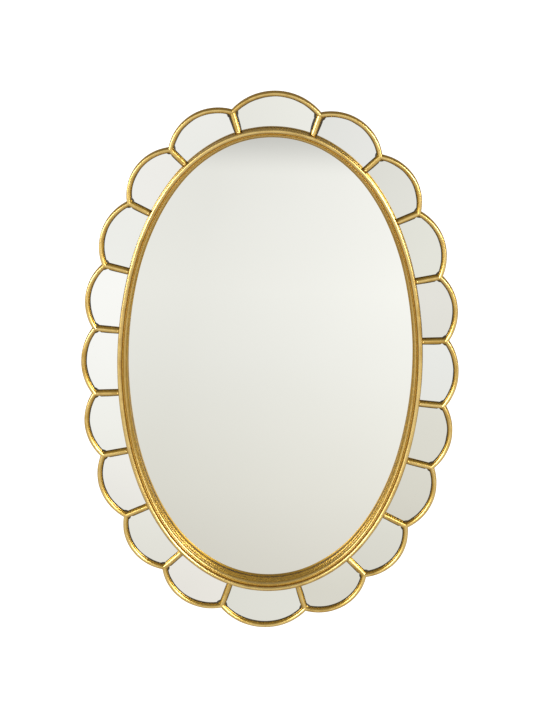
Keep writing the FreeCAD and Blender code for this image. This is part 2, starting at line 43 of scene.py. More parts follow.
# camera, from where the notches of the petals lie in the photograph: degrees, metres and its pixels
shot = {
    "elevation": 19.2, "azimuth": 1.7, "roll": 1.5, "distance": 4.94, "scale": 616.8,
    "middle": (270.3, 359.3), "picture": (540, 720), "sensor": 36, "clip": (0.05, 200),
}
elevation, azimuth = math.radians(shot["elevation"]), math.radians(shot["azimuth"])
backward = Vector((math.sin(azimuth) * math.cos(elevation), -math.cos(azimuth) * math.cos(elevation),
                   math.sin(elevation)))
cameraData = bpy.data.cameras.new("viewer")
camera = bpy.data.objects.new("viewer", cameraData)
bpy.context.collection.objects.link(camera)
longSide = max(shot["picture"])
cameraData.sensor_width = shot["sensor"]
cameraData.lens = shot["scale"] * shot["distance"] / longSide * shot["sensor"]
cameraData.shift_x = (shot["picture"][0] / 2 - shot["middle"][0]) / longSide
cameraData.shift_y = (shot["middle"][1] - shot["picture"][1] / 2) / longSide
cameraData.clip_start, cameraData.clip_end = shot["clip"]
turn = (-backward).to_track_quat("-Z", "Y").to_matrix() @ Matrix.Rotation(math.radians(shot["roll"]), 3, "Z")
camera.matrix_world = Matrix.Translation(backward * shot["distance"]) @ turn.to_4x4()
bpy.context.scene.camera = camera
bpy.context.scene.view_settings.view_transform = "Standard"
print("camera set")


class Wire:  # a value in a node tree: sums on it add Math nodes, and node() adds any other node
    def __init__(self, tree, socket=None):
        self.tree, self.socket = tree, socket

    def node(self, kind, settings=None, values=None, output=0):
        made = self.tree.nodes.new(kind)
        for name, value in (settings or {}).items():
            if name == "stops":
                ramp = made.color_ramp
                ramp.elements.remove(ramp.elements[1])
                for number, (place, colour) in enumerate(value):
                    stop = ramp.elements.new(place) if number else ramp.elements[0]
                    stop.position, stop.color = place, (*colour, 1)
            else:
                setattr(made, name, value)
        for key, value in (values or {}).items():
            socket = made.inputs[key]
            if isinstance(value, Wire):
                self.tree.links.new(value.socket, socket)
            elif socket.type == "RGBA" and len(value) == 3:
                socket.default_value = (*value, 1)
            else:
                socket.default_value = value
        return Wire(self.tree, made.outputs[output] if made.outputs else None)

    def sum(self, operation, one, two):
        return self.node("ShaderNodeMath", {"operation": operation}, {0: one, 1: two})

    def __add__(self, other):
        return self.sum("ADD", self, other)

    def __radd__(self, other):
        return self.sum("ADD", other, self)

    def __sub__(self, other):
        return self.sum("SUBTRACT", self, other)

    def __rsub__(self, other):
        return self.sum("SUBTRACT", other, self)

    def __mul__(self, other):
        return self.sum("MULTIPLY", self, other)

    def __rmul__(self, other):
        return self.sum("MULTIPLY", other, self)

    def between(self, low, high):  # 0 below low, 1 above high, smooth in between
        return self.node("ShaderNodeMapRange", {"interpolation_type": "SMOOTHSTEP"},
                         {"Value": self, "From Min": low, "From Max": high})

    def tint(self, one, two):  # first colour where the mask is 0, second where it is 1
        return self.node("ShaderNodeMix", {"data_type": "RGBA"}, {0: self, 6: one, 7: two}, 2)

    def stretched(self, factors):
        return self.node("ShaderNodeVectorMath", {"operation": "MULTIPLY"}, {0: self, 1: factors})

    def grain(self, scale, detail, roughness, distortion=0):
        return self.node("ShaderNodeTexNoise", {}, {
            "Vector": self, "Scale": scale, "Detail": detail, "Roughness": roughness,
            "Distortion": distortion}, "Fac")


def finish(name, recipe, look):
    material = bpy.data.materials.new(name)
    material.use_nodes = True
    material.node_tree.nodes.clear()
    start = Wire(material.node_tree)
    surface = start.node("ShaderNodeBsdfPrincipled", {}, recipe(start, look))
    start.node("ShaderNodeOutputMaterial", {}, {"Surface": surface})
    return material


def objectPlace(start):
    return start.node("ShaderNodeTexCoord", {}, {}, "Object")


def bump(start, strength, depth, height):
    return start.node("ShaderNodeBump", {}, {"Strength": strength, "Distance": depth, "Height": height})


# gold leaf with a dark glaze left in the hollows, brushed along each bar; the stain value also paints shade,
# from glaze to near black, at the feet of walls, in corners and down the flanks of the crowns, and paler leaf
# along the crowns is partly a painted highlight

def gilding(start, look):
    place = objectPlace(start)
    girth = start.node("ShaderNodeUVMap", {"uv_map": "girth"})
    stain = start.node("ShaderNodeAttribute", {"attribute_name": "stain"}, {}, "Fac")
    brush = girth.stretched(look["brushScale"]).grain(1, 3, 0.6)
    broad = girth.stretched(look["broadScale"]).grain(1, 2, 0.5)
    mottle = place.grain(look["mottleScale"], 2, 0.5)
    pits = place.grain(look["pitScale"], 2, 0.6)
    blotch, streak = mottle - 0.5, brush - 0.5
    leaf = (brush * 0.5 + broad * 0.5).between(*look["leafRange"]).tint(look["deepLeaf"], look["paleLeaf"])
    leaf = mottle.between(*look["warmRange"]).tint(leaf, look["warmLeaf"])
    # paler leaf along the crowns where the stain value is lowest, in patches: partly real wear of the high
    # spots, partly a painted highlight
    wearAndHighlight = (broad * 0.6 + mottle * 0.4).between(*look["wornRange"])
    ridgeHighlight = (1 - stain).between(*look["ridgeRange"]) * wearAndHighlight
    leaf = ridgeHighlight.tint(leaf, look["burnished"])
    patches = blotch * 0.5 + streak * 0.4
    # dark glaze in the hollows, and painted shade at the feet of walls, in corners and down the flanks of the
    # crowns
    glazeAndShade = (stain + patches * look["patchy"]).between(*look["glazeRange"])
    # painted shade: near black where the stain value is highest, at the feet of walls and in corners
    deep = (stain + blotch * look["sootBlotch"]).between(*look["sootRange"])
    colour = deep.tint(glazeAndShade.tint(leaf, look["glaze"]), look["soot"])
    rub = pits.between(*look["pitRange"]) * mottle.between(*look["rubRange"]) * look["rub"]
    colour = rub.tint(colour, look["bole"])
    rough = look["roughness"] + blotch * look["blotchRough"] + streak * look["streakRough"]
    relief = brush * 0.3 + mottle * 0.7 + broad * 0.5
    return {
        "Base Color": colour, "Metallic": 1 - deep * look["sootCover"] - rub * look["boleCover"],
        "Roughness": rough + glazeAndShade * look["dullness"],
        "Normal": bump(start, look["relief"], look["reliefDepth"], relief),
        "Coat Weight": (1 - stain * look["coatLoss"]) * look["coat"] + ridgeHighlight * look["ridgeCoat"],
        "Coat Roughness": look["coatRoughness"], "Coat IOR": look["coatIndex"],
        "Specular Tint": look["edgeTint"],
    }


barLook = {
    # marks per metre, along and across a bar or in all directions
    "brushScale": (26, 900, 1), "broadScale": (9, 300, 1), "mottleScale": 70, "pitScale": 420,
    # where a mask begins and where it is full
    "leafRange": (0.3, 0.7), "warmRange": (0.35, 0.7), "wornRange": (0.34, 0.56), "ridgeRange": (0.7, 1.0),
    "glazeRange": (0.25, 0.95), "sootRange": (0.8, 1.05), "pitRange": (0.62, 0.72), "rubRange": (0.45, 0.6),
    "deepLeaf": (0.39, 0.215, 0.024), "paleLeaf": (0.57, 0.36, 0.078), "warmLeaf": (0.47, 0.27, 0.034),
    "burnished": (0.60, 0.405, 0.10), "edgeTint": (0.72, 0.58, 0.3, 1),
    "glaze": (0.32, 0.17, 0.016), "patchy": 1.0, "dullness": 0.2,
    "soot": (0.03, 0.015, 0.004), "sootBlotch": 0.3, "sootCover": 0.7,
    "bole": (0.20, 0.07, 0.02), "rub": 0.12, "boleCover": 0.4,
    "roughness": 0.32, "blotchRough": 0.14, "streakRough": 0.1, "relief": 0.03, "reliefDepth": 0.0006,
    "coat": 0.32, "coatLoss": 0.8, "coatRoughness": 0.18, "coatIndex": 1.9, "ridgeCoat": 0.6,
}
ringLook = dict(barLook, brushScale=(18, 700, 1), broadScale=(6, 240, 1), mottleScale=50, patchy=0.45,
                dullness=0.4, coat=0.5, coatRoughness=0.22, ridgeCoat=0.42)
gildedIron = finish("gilded_iron_bars", gilding, barLook)
gildedWood = finish("gilded_wood_ring", gilding, ringLook)


# silvered glass, each piece with its own faint cast; the centre glass also gets painted shade along its top

def silvering(start, look):
    place = objectPlace(start)
    cloud = place.grain(look["cloudScale"], 2, 0.5)
    dust = place.grain(look["dustScale"], 3, 0.7)
    colour = cloud.between(*look["cloudRange"]).tint(look["tone"], look["otherTone"])
    if "greyEdge" in look:  # painted shade along the top of the glass, below the ring's overhang
        up = place.node("ShaderNodeSeparateXYZ", {}, {0: place}, "Z")
        paintedShadeColour = tuple(value * look["greyTone"] for value in look["tone"])
        colour = up.between(*look["greyEdge"]).tint(colour, paintedShadeColour)
    return {
        "Base Color": colour, "Metallic": 1.0,
        "Roughness": look["roughness"] + dust.between(*look["dustRange"]) * look["dustRough"],
        "Normal": bump(start, look["ripple"], look["rippleDepth"], place.grain(look["rippleScale"], 1, 0.4)),
    }


def glassLook(tone, cast, **others):
    look = {
        "tone": tone, "otherTone": tuple(value * cast for value in tone),
        "cloudScale": 6, "cloudRange": (0.3, 0.7), "dustScale": 420, "dustRange": (0.45, 0.8),
        "ripple": 0.02, "rippleDepth": 0.001, "rippleScale": 11, "roughness": 0.012, "dustRough": 0.03,
    }
    look.update(others)
    return look


# the centre glass gets painted shade along its top, under the ring
centreGlass = finish("centre_silvering", silvering, glassLook(
    (0.80, 0.80, 0.755), 0.985, cloudScale=3, greyEdge=(0.31, 0.388), greyTone=0.67))


# wood fibre, steel and felt

def fibreBoard(start, look):
    place = objectPlace(start)
    fibre = place.stretched(look["stretch"]).grain(look["fibreScale"], 5, 0.65, 0.6)
    speck = place.grain(look["speckScale"], 3, 0.7)
    pale = fibre.between(*look["fibreRange"])
    colour = pale.tint(look["dark"], look["light"])
    colour = speck.between(*look["speckRange"]).tint(colour, look["speck"])
    if "edge" in look:  # the sides of the board are painted bronze, the back is left dark
        facing = start.node("ShaderNodeTexCoord", {}, {}, "Normal")
        away = start.node("ShaderNodeSeparateXYZ", {}, {0: facing}, "Y")
        side = 1 - (away * away).between(*look["edgeRange"])
        colour = side.tint(colour, pale.tint(look["edge"], look["paleEdge"]))
    return {"Base Color": colour, "Roughness": look["roughness"] + (fibre - 0.5) * look["fibreRough"],
            "Normal": bump(start, look["relief"], look["reliefDepth"], fibre * 0.7 + speck * 0.5),
            "Specular IOR Level": look["shine"]}


paintLook = {
    "stretch": (1, 1, 1), "fibreScale": 160, "fibreRange": (0.3, 0.72), "fibreRough": 0.2,
    "speckScale": 500, "speckRange": (0.58, 0.7), "speck": (0.085, 0.055, 0.03),
    "dark": (0.030, 0.019, 0.010), "light": (0.062, 0.040, 0.021),
    "relief": 0.35, "reliefDepth": 0.0005, "roughness": 0.55, "shine": 0.25,
}
boardPaint = finish("board_dark_paint", fibreBoard, dict(
    paintLook, edge=(0.20, 0.12, 0.035), paleEdge=(0.30, 0.19, 0.06), edgeRange=(0.15, 0.45)))
hardboard = finish("hardboard_brown", fibreBoard, dict(
    paintLook, stretch=(1, 1, 0.35), fibreScale=240, speckScale=700, dark=(0.13, 0.072, 0.035),
    light=(0.24, 0.145, 0.075), speck=(0.09, 0.05, 0.025), relief=0.5, roughness=0.68))
darkBandFinish = finish("dark_putty", fibreBoard, dict(
    paintLook, fibreScale=120, speckScale=400, dark=(0.016, 0.010, 0.004), light=(0.045, 0.028, 0.009),
    speck=(0.07, 0.043, 0.014), relief=0.15, roughness=0.5))


def plating(start, look):
    place = objectPlace(start)
    spangle = place.node("ShaderNodeTexVoronoi", {"feature": "F1"}, {
        "Vector": place, "Scale": look["spangleScale"]}, "Color")
    flake = spangle.node("ShaderNodeSeparateColor", {}, {0: spangle})
    scratch = place.stretched(look["scratchStretch"]).grain(look["scratchScale"], 3, 0.6)
    haze = place.grain(look["hazeScale"], 3, 0.6)
    colour = flake.tint(look["dark"], look["light"])
    colour = haze.between(*look["hazeRange"]).tint(colour, look["haze"])
    rough = look["roughness"] + (scratch - 0.5) * look["scratchRough"] + flake * look["flakeRough"]
    return {"Base Color": colour, "Metallic": 1.0, "Roughness": rough,
            "Normal": bump(start, look["relief"], look["reliefDepth"], scratch)}


zincSteel = finish("zinc_steel", plating, {
    "spangleScale": 380, "flakeRough": 0.08, "dark": (0.42, 0.43, 0.42), "light": (0.62, 0.63, 0.61),
    "scratchScale": 2400, "scratchStretch": (1, 1, 0.06), "scratchRough": 0.25,
    "hazeScale": 200, "hazeRange": (0.55, 0.8), "haze": (0.36, 0.35, 0.30),
    "roughness": 0.3, "relief": 0.2, "reliefDepth": 0.0002,
})


def felt(start, look):
    fluff = objectPlace(start).grain(look["fluffScale"], 6, 0.75, 1.5)
    return {"Base Color": fluff.between(*look["fluffRange"]).tint(look["dark"], look["light"]),
            "Roughness": look["roughness"], "Sheen Weight": look["sheen"],
            "Normal": bump(start, look["relief"], look["reliefDepth"], fluff)}


feltPad = finish("felt_pads", felt, {
    "fluffScale": 900, "fluffRange": (0.3, 0.7), "dark": (0.045, 0.043, 0.04), "light": (0.11, 0.105, 0.10),
    "roughness": 0.95, "sheen": 0.3, "relief": 0.8, "reliefDepth": 0.0006,
})
print("finishes made")


# lay-out of the flower in mm, right and up from its middle: angles are degrees of the oval's own
# formula, and bearings are radians clockwise from straight up

flower = {
    "halfWidth": 246, "halfHeight": 394, "fullness": 2.13, "drop": 4.2, "ovalJoints": (0, 20, 40, 52, 68, 90),
    "dividerAngles": (12.3, 33.4, 51.8, 68.5, 83.2), "dividerReaches": (41.5, 39.3, 41.4, 43.3, 42.4),
    "petalBulges": (32.3, 25.4, 22.8, 20.8, 19.3, 18.3), "rimWidth": 7.5, "dividerWidth": 8.5,
    "cornerRadius": 9, "boardFront": 21, "glassTop": 24, "glassFront": 12,
}
halfWidth, halfHeight = flower["halfWidth"], flower["halfHeight"]
boardFront, glassTop = flower["boardFront"], flower["glassTop"]


def heading(bearing):
    return Vector((math.sin(bearing), math.cos(bearing)))


def leftOf(v):
    return Vector((-v.y, v.x))


def signedPower(value, exponent):
    return math.copysign(abs(value) ** exponent, value)


def ovalShare(angle):
    a, exponent = math.radians(angle), 2 / flower["fullness"]
    return signedPower(math.sin(a), exponent), signedPower(math.cos(a), exponent)


def ovalPoint(angle):
    right, up = ovalShare(angle)
    return Vector((halfWidth * right, halfHeight * up))


def ovalNormal(angle):
    right, up = (signedPower(share, flower["fullness"] - 1) for share in ovalShare(angle))
    return Vector((right / halfWidth, up / halfHeight)).normalized()


def quarterArcs():
    # tangent arcs along the oval from the top to the right: centre, radius, first and last bearing
    bearings = [math.atan2(*ovalNormal(joint)) for joint in flower["ovalJoints"]]
    spans = list(zip(bearings, bearings[1:]))
    marks = [ovalPoint(joint) for joint in flower["ovalJoints"]]
    radii = [(q - p).length / (2 * math.sin((b - a) / 2)) for p, q, (a, b) in zip(marks, marks[1:], spans)]
    steps = [heading(b) - heading(a) for a, b in spans]
    missing = Vector((halfWidth, -halfHeight))
    for step, radius in zip(steps, radii):
        missing -= step * radius
    # the least change of the radii that makes the arcs end at the oval's right
    xx, xy, yy = sum(t.x * t.x for t in steps), sum(t.x * t.y for t in steps), sum(t.y * t.y for t in steps)
    spread = xx * yy - xy * xy
    fix = Vector(((yy * missing.x - xy * missing.y) / spread, (xx * missing.y - xy * missing.x) / spread))
    radii = [radius + step.dot(fix) for step, radius in zip(steps, radii)]
    centre = Vector((0, halfHeight - radii[0]))
    arcs = []
    for (start, end), radius, following in zip(spans, radii, radii[1:] + radii[-1:]):
        arcs.append((centre.copy(), radius, start, end))
        centre += heading(end) * (radius - following)
    return arcs


ovalArcs = quarterArcs()


def ovalStations(step):
    # centre, radius and bearing of points round the whole oval, clockwise from the top
    stations = []
    for right, up in ((1, 1), (1, -1), (-1, -1), (-1, 1)):
        for centre, radius, start, end in (ovalArcs if right == up else ovalArcs[::-1]):
            first, last = (start, end) if right == up else (end, start)
            count = max(2, round(radius * abs(last - first) / step))
            for k in range(count):
                b = first + (last - first) * k / count
                spun = math.atan2(right * math.sin(b), up * math.cos(b))
                stations.append((Vector((right * centre.x, up * centre.y)), radius, spun))
    return stations


def ovalDepth(point):
    # distance outside the ring's outer wall, and the wall's own point there
    folded, slack = Vector((abs(point.x), abs(point.y))), 0.001
    for centre, radius, start, end in ovalArcs:
        away = folded - centre
        if start - slack <= math.atan2(away.x, away.y) <= end + slack:
            break
    edge = centre + away.normalized() * radius
    return away.length - radius, Vector((math.copysign(edge.x, point.x), math.copysign(edge.y, point.y)))


def circlesMeet(c1, r1, c2, r2, near):
    across = c2 - c1
    d = across.length
    along = (d * d + r1 * r1 - r2 * r2) / (2 * d)
    off = leftOf(across.normalized()) * math.sqrt(r1 * r1 - along * along)
    base = c1 + across.normalized() * along
    return min((base + off, base - off), key=lambda p: (p - near).length)


def lineMeetsCircle(point, way, centre, radius, near):
    to = point - centre
    b = to.dot(way)
    root = math.sqrt(b * b - to.dot(to) + radius * radius)
    return min((point + way * (k * root - b) for k in (-1, 1)), key=lambda p: (p - near).length)


quarter = list(zip(flower["dividerAngles"], flower["dividerReaches"]))
half = quarter + [(180 - angle, reach) for angle, reach in reversed(quarter)]
drop = Vector((0, -flower["drop"]))
dividers = []
for turned in (0, 180):
    for angle, reach in half:
        way, foot = ovalNormal(turned + angle), ovalPoint(turned + angle) + drop
        dividers.append({"way": way, "foot": foot - way * drop.dot(way), "notch": foot + way * reach})
bulges = list(flower["petalBulges"])
bulges = (bulges + bulges[-2:0:-1]) * 2
petals = []
for k, bulge in enumerate(bulges):
    before, after = dividers[k - 1], dividers[k]
    chord = after["notch"] - before["notch"]
    outward = leftOf(chord.normalized())
    radius = (chord.length ** 2 / 4 + bulge ** 2) / (2 * bulge)
    petals.append({"sides": ((before, -1), (after, 1)), "outward": outward, "radius": radius,
                   "centre": (before["notch"] + after["notch"]) / 2 - outward * (radius - bulge)})
for k, divider in enumerate(dividers):
    one, two = petals[k], petals[(k + 1) % len(petals)]
    for name, inset in (("inner", flower["rimWidth"]), ("crest", flower["rimWidth"] / 2)):
        divider[name] = circlesMeet(one["centre"], one["radius"] - inset,
                                    two["centre"], two["radius"] - inset, divider["notch"])
print("flower laid out,", len(petals), "petals")


# meshes, in mm until they are placed: the stain value tells how much glaze and painted shade lie at a point,
# 0 none and 1 black; the painted shade darkens the feet of walls, the corners and the flanks of the crowns

def offWall(point, height):
    return Vector((point.x, -height, point.y))


def arch(start, end, rise, form):
    # inset, height and stain value (glaze and painted shade) along a round or a hollow from start to end
    steps, (middle, edges, power) = form["steps"], form["stain"]
    points = []
    for k in range(steps + 1):
        f = (1 - math.cos(math.pi * k / steps)) / 2
        lift = rise * math.sin(math.pi * k / steps) ** form["roundness"]
        stain = middle + (edges - middle) * abs(2 * k / steps - 1) ** power
        points.append((start[0] + (end[0] - start[0]) * f, start[1] + (end[1] - start[1]) * f + lift, stain))
    return points


def newBody():
    body = bmesh.new()
    body.loops.layers.uv.new("girth")
    body.verts.layers.float.new("stain")
    return body


def addPoint(body, place, stain=0.0):
    vertex = body.verts.new(place * mm)
    vertex[body.verts.layers.float["stain"]] = stain
    return vertex


def addStrip(body, one, two):
    for k in range(len(one) - 1):
        body.faces.new((one[k], one[k + 1], two[k + 1], two[k]))


def addSweep(body, rows, profile, loop, shift):
    # every row is one closed section, and rows follow each other along the bar
    girthLayer = body.loops.layers.uv["girth"]
    across = [0.0]
    for a, b in zip(rows[0], rows[0][1:] + rows[0][:1]):
        across.append(across[-1] + (b - a).length * mm)
    along = [shift]
    follow = rows[1:] + rows[:1] if loop else rows[1:]
    for row, following in zip(rows, follow):
        along.append(along[-1] + sum((b - a).length for a, b in zip(row, following)) / len(row) * mm)
    grid = [[addPoint(body, p, stain) for p, (inset, height, stain) in zip(row, profile)] for row in rows]
    count = len(rows[0])
    for k in range(len(follow)):
        for j in range(count):
            nextRow, nextSpot = (k + 1) % len(rows), (j + 1) % count
            face = body.faces.new((grid[k][j], grid[k][nextSpot], grid[nextRow][nextSpot], grid[nextRow][j]))
            corners = ((along[k], across[j]), (along[k], across[j + 1]),
                       (along[k + 1], across[j + 1]), (along[k + 1], across[j]))
            for corner, at in zip(face.loops, corners):
                corner[girthLayer].uv = at
    if not loop:
        for line in (grid[0], grid[-1]):
            face = body.faces.new(line)
            for corner, place in zip(face.loops, across):
                corner[girthLayer].uv = (shift, place)


def placePiece(name, body, material, nodes, sharp=32):
    bmesh.ops.recalc_face_normals(body, faces=body.faces)
    mesh = bpy.data.meshes.new(name)
    body.to_mesh(mesh)
    body.free()
    mesh.shade_smooth()
    mesh.set_sharp_from_angle(angle=math.radians(sharp))
    mesh.materials.append(material)
    piece = bpy.data.objects.new(name, mesh)
    bpy.context.collection.objects.link(piece)
    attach(piece, "mirror")
    if nodes:
        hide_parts(*nodes)


def wander(point, pace, level):
    return noise.noise(Vector((point.x * pace, point.y * pace, level)))


def handmade(point, piece):
    # slow unevenness of hand work, never outwards
    pace = 0.021
    return -piece["uneven"] * (0.5 + 0.5 * wander(point, pace, piece["seed"]))


def looseness(height, piece):
    # how far the unevenness has grown: none at the board, all of it from looseHeight above it
    return min(max((height - boardFront) / piece["looseHeight"], 0), 1)


# the oval ring: upright wall, round bead, hollow, rounded step, quirk and lip down to the glass
ring = {
    # inset, height and stain value (glaze and painted shade, darkest at the board and at the glass) of each
    # point up the outer wall, and height and stain value down the inner one
    "outerWall": ((0, boardFront, 1.0), (0, 22.5, 0.75), (0, 26, 0.6), (0, 30, 0.5), (0.05, 32.6, 0.2)),
    "innerWall": ((22.1, 0.4), (18.6, 0.6), (15, 0.85)),
    "wallTop": (0.05, 33), "lipThickness": 4, "glassGap": 0.1,
    "bead": {"width": 7.0, "rise": 3.3, "drop": 0.6, "steps": 16, "roundness": 0.8, "stain": (0.0, 0.25, 2)},
    "hollow": {"width": 3.2, "rise": -1.8, "drop": 1.4, "steps": 9, "roundness": 1.0, "stain": (0.6, 0.4, 2)},
    "step": {"width": 3.8, "rise": 1.1, "drop": 3.6, "steps": 10, "roundness": 0.8, "stain": (0.1, 0.5, 2)},
    "quirk": {"width": 0.4, "drop": 1.6, "undercut": 0.25, "lift": 0.1},
    "lip": {"width": 1.6, "rise": 0.5, "drop": 2.2, "steps": 6, "roundness": 0.8, "stain": (0.5, 0.5, 1)},
    "station": 2.4, "looseHeight": 12, "uneven": 0.28, "seed": 3.1,
    "sway": 0.12, "swayPace": 0.03, "swayClimb": 0.4,
}


def ringProfile():
    rows = list(ring["outerWall"])
    inset, height = ring["wallTop"]
    for name in ("bead", "hollow", "step", "quirk", "lip"):
        form = ring[name]
        end = (inset + form["width"], height - form["drop"])
        if name == "quirk":
            rows.append((end[0] - form["undercut"], end[1] + form["lift"], 1.0))
        else:
            rows += arch((inset, height), end, form["rise"], form)
        inset, height = end
    back, foot = inset - ring["lipThickness"], flower["glassFront"] + ring["glassGap"]
    rows += [(inset, height, stain) for height, stain in ring["innerWall"]]
    rows += [(inset, foot, 1.0), (back, foot, 1.0), (back, boardFront, 1.0)]
    return rows


body = newBody()
profile = ringProfile()
rows = []
for centre, radius, bearing in ovalStations(ring["station"]):
    out = heading(bearing)
    wall = centre + out * radius
    lift = handmade(wall, ring)
    row = []
    for inset, height, stain in profile:
        share = looseness(height, ring)
        sway = ring["sway"] * abs(wander(wall, ring["swayPace"], height * ring["swayClimb"]))
        row.append(offWall(centre + out * (radius - inset - sway * share), height + lift * share))
    rows.append(row)
addSweep(body, rows, profile, True, 0.0)
placePiece("oval_ring_gilded", body, gildedWood, ["oval_ring"])
print("ring swept,", len(rows), "stations")


# the outer rims: bent bars with a small foot and a round crown, mitred at the notches
rim = {
    # as for the ring, and the lowest stretch stands a hair inside the solid's wall
    "outerWall": ((0.03, boardFront, 0.5), (0.03, 21.7, 0.3), (0.15, 22.3, 0.6), (0.15, 25.5, 0.4)),
    "innerWall": ((26.3, 0.65), (26, 0.7), (glassTop, 0.85), (boardFront, 1.0)),
    "outerTop": 27.2, "outerInset": 0.15, "innerTop": 26.8, "innerInset": 0.1, "crownTop": 31.5, "lean": 1.4,
    "crown": {"steps": 16, "roundness": 0.75, "stain": (0.0, 0.8, 1.7)}, "segment": 1.6, "fewest": 8,
    "looseHeight": 8, "uneven": 0.2, "seed": 5.3, "sway": 0.25, "swayPace": 0.04, "swaySeed": 7.7,
}


def rimProfile():
    width = flower["rimWidth"]
    outer, inner = rim["outerInset"], width - rim["innerInset"]
    rise = rim["crownTop"] - (rim["outerTop"] + rim["innerTop"]) / 2
    rows = list(rim["outerWall"])
    for share, height, stain in arch((0, rim["outerTop"]), (1, rim["innerTop"]), rise, rim["crown"]):
        rows.append((outer + (inner - outer) * share ** rim["lean"], height, stain))
    return rows + [(width, height, stain) for height, stain in rim["innerWall"]]


def mitreAngle(petal, divider, radius):
    # where a circle round the petal's centre crosses the mitre through the notch
    notch, centre = divider["notch"], petal["centre"]
    along = (notch - divider["inner"]).normalized()
    away = lineMeetsCircle(notch, along, centre, radius, notch) - centre
    return math.atan2(away.dot(leftOf(petal["outward"])), away.dot(petal["outward"]))


random.seed(20)
profile = rimProfile()
for k, petal in enumerate(petals):
    centre, outward, radius = petal["centre"], petal["outward"], petal["radius"]
    spans = [[mitreAngle(petal, divider, radius - inset) for divider, side in petal["sides"]]
             for inset, height, stain in profile]
    count = max(rim["fewest"], round(radius * abs(spans[0][0] - spans[0][1]) / rim["segment"]))
    rows = []
    for j in range(count + 1):
        row = []
        for (first, last), (inset, height, stain) in zip(spans, profile):
            a = first + (last - first) * j / count
            out = outward * math.cos(a) + leftOf(outward) * math.sin(a)
            spot = centre + out * (radius - inset)
            share = looseness(height, rim)
            spot -= out * share * rim["sway"] * abs(wander(spot, rim["swayPace"], rim["swaySeed"]))
            row.append(offWall(spot, height + share * handmade(spot, rim)))
        rows.append(row)
    body = newBody()
    addSweep(body, rows, profile, False, random.uniform(0, 3))
    number = "%02d" % (k + 1)
    placePiece("rim_" + number, body, gildedIron, ["petal_rim_" + number])
print("rims bent")


# the dividers: straight bars from the ring to the crests of the rims
bar = {
    "wall": ((boardFront, 1.0), (glassTop, 0.6), (26, 0.55), (27.4, 0.65)), "wallTop": 27.9,
    "crown": {"steps": 12, "roundness": 0.85, "stain": (0.0, 0.8, 1.7)}, "crownTop": 31.0, "crownInset": 0.1,
    "intoRing": 3.5, "shortOfCrest": 0.4, "segment": 2, "looseHeight": 8, "uneven": 0.22, "seed": 9.2,
}


def barProfile():
    half, top = flower["dividerWidth"] / 2, bar["wallTop"]
    edge = half - bar["crownInset"]
    rows = [(-half, height, stain) for height, stain in bar["wall"]]
    rows += arch((-edge, top), (edge, top), bar["crownTop"] - top, bar["crown"])
    return rows + [(half, height, stain) for height, stain in reversed(bar["wall"])]


body = newBody()
profile = barProfile()
for divider in dividers:
    way, across = divider["way"], leftOf(divider["way"])
    length = (divider["crest"] - divider["foot"]).dot(way) - bar["shortOfCrest"]
    count = round(length / bar["segment"])
    rows = []
    for j in range(count + 1):
        along = -bar["intoRing"] + (length + bar["intoRing"]) * j / count
        middle = divider["foot"] + way * along
        lift = handmade(middle, bar)
        rows.append([offWall(middle + across * side, height + looseness(height, bar) * lift)
                     for side, height, stain in profile])
    addSweep(body, rows, profile, False, random.uniform(0, 3))
placePiece("divider_bars_gilded", body, gildedIron, ["divider_bars"])


# webs in the outer corners of the petals' cells
web = {
    "steps": 8, "shoulder": 25.7, "top": 26.9, "lean": 0.16, "tipRise": 1.6, "tipReach": 1.5,
    # stain values of the web, near black at the board: painted shade in the cell's corner
    "lowStainAndShade": 1.0, "shoulderStainAndShade": 0.8, "topStainAndShade": 0.55, "tipStainAndShade": 0.5,
}


def cellCorner(petal, divider, side):
    # rounded corner of a petal's cell: centre, end on the divider, end on the rim
    bend = flower["cornerRadius"]
    away = leftOf(divider["way"]) * side
    start = divider["foot"] + away * (flower["dividerWidth"] / 2 + bend)
    inner = petal["radius"] - flower["rimWidth"]
    centre = lineMeetsCircle(start, divider["way"], petal["centre"], inner - bend, divider["notch"])
    onRim = petal["centre"] + (centre - petal["centre"]).normalized() * inner
    return centre, centre - away * bend, onRim


def arcPoints(centre, start, end, count):
    first, last = start - centre, end - centre
    whole = math.atan2(first.x * last.y - first.y * last.x, first.dot(last))
    points = []
    for k in range(count + 1):
        a = whole * k / count
        points.append(centre + first * math.cos(a) + leftOf(first) * math.sin(a))
    return points


body = newBody()
for petal in petals:
    for divider, side in petal["sides"]:
        centre, onSide, onRim = cellCorner(petal, divider, side)
        edge = divider["foot"] + leftOf(divider["way"]) * side * flower["dividerWidth"] / 2
        inner = petal["radius"] - flower["rimWidth"]
        corner = lineMeetsCircle(edge, divider["way"], petal["centre"], inner, divider["notch"])
        tip = corner + (corner - centre).normalized() * web["tipReach"]
        hollow = arcPoints(centre, onSide, onRim, web["steps"])
        low = [addPoint(body, offWall(p, boardFront), web["lowStainAndShade"]) for p in hollow]
        shoulder = [addPoint(body, offWall(p, web["shoulder"]), web["shoulderStainAndShade"]) for p in hollow]
        high = [addPoint(body, offWall(p.lerp(tip, web["lean"]), web["top"]), web["topStainAndShade"])
                for p in hollow]
        top = addPoint(body, offWall(tip, web["top"] + web["tipRise"]), web["tipStainAndShade"])
        addStrip(body, low, shoulder)
        addStrip(body, shoulder, high)
        for one, two in zip(high, high[1:]):
            body.faces.new((one, two, top))
placePiece("corner_webs", body, gildedIron, [])
print("dividers and webs made")


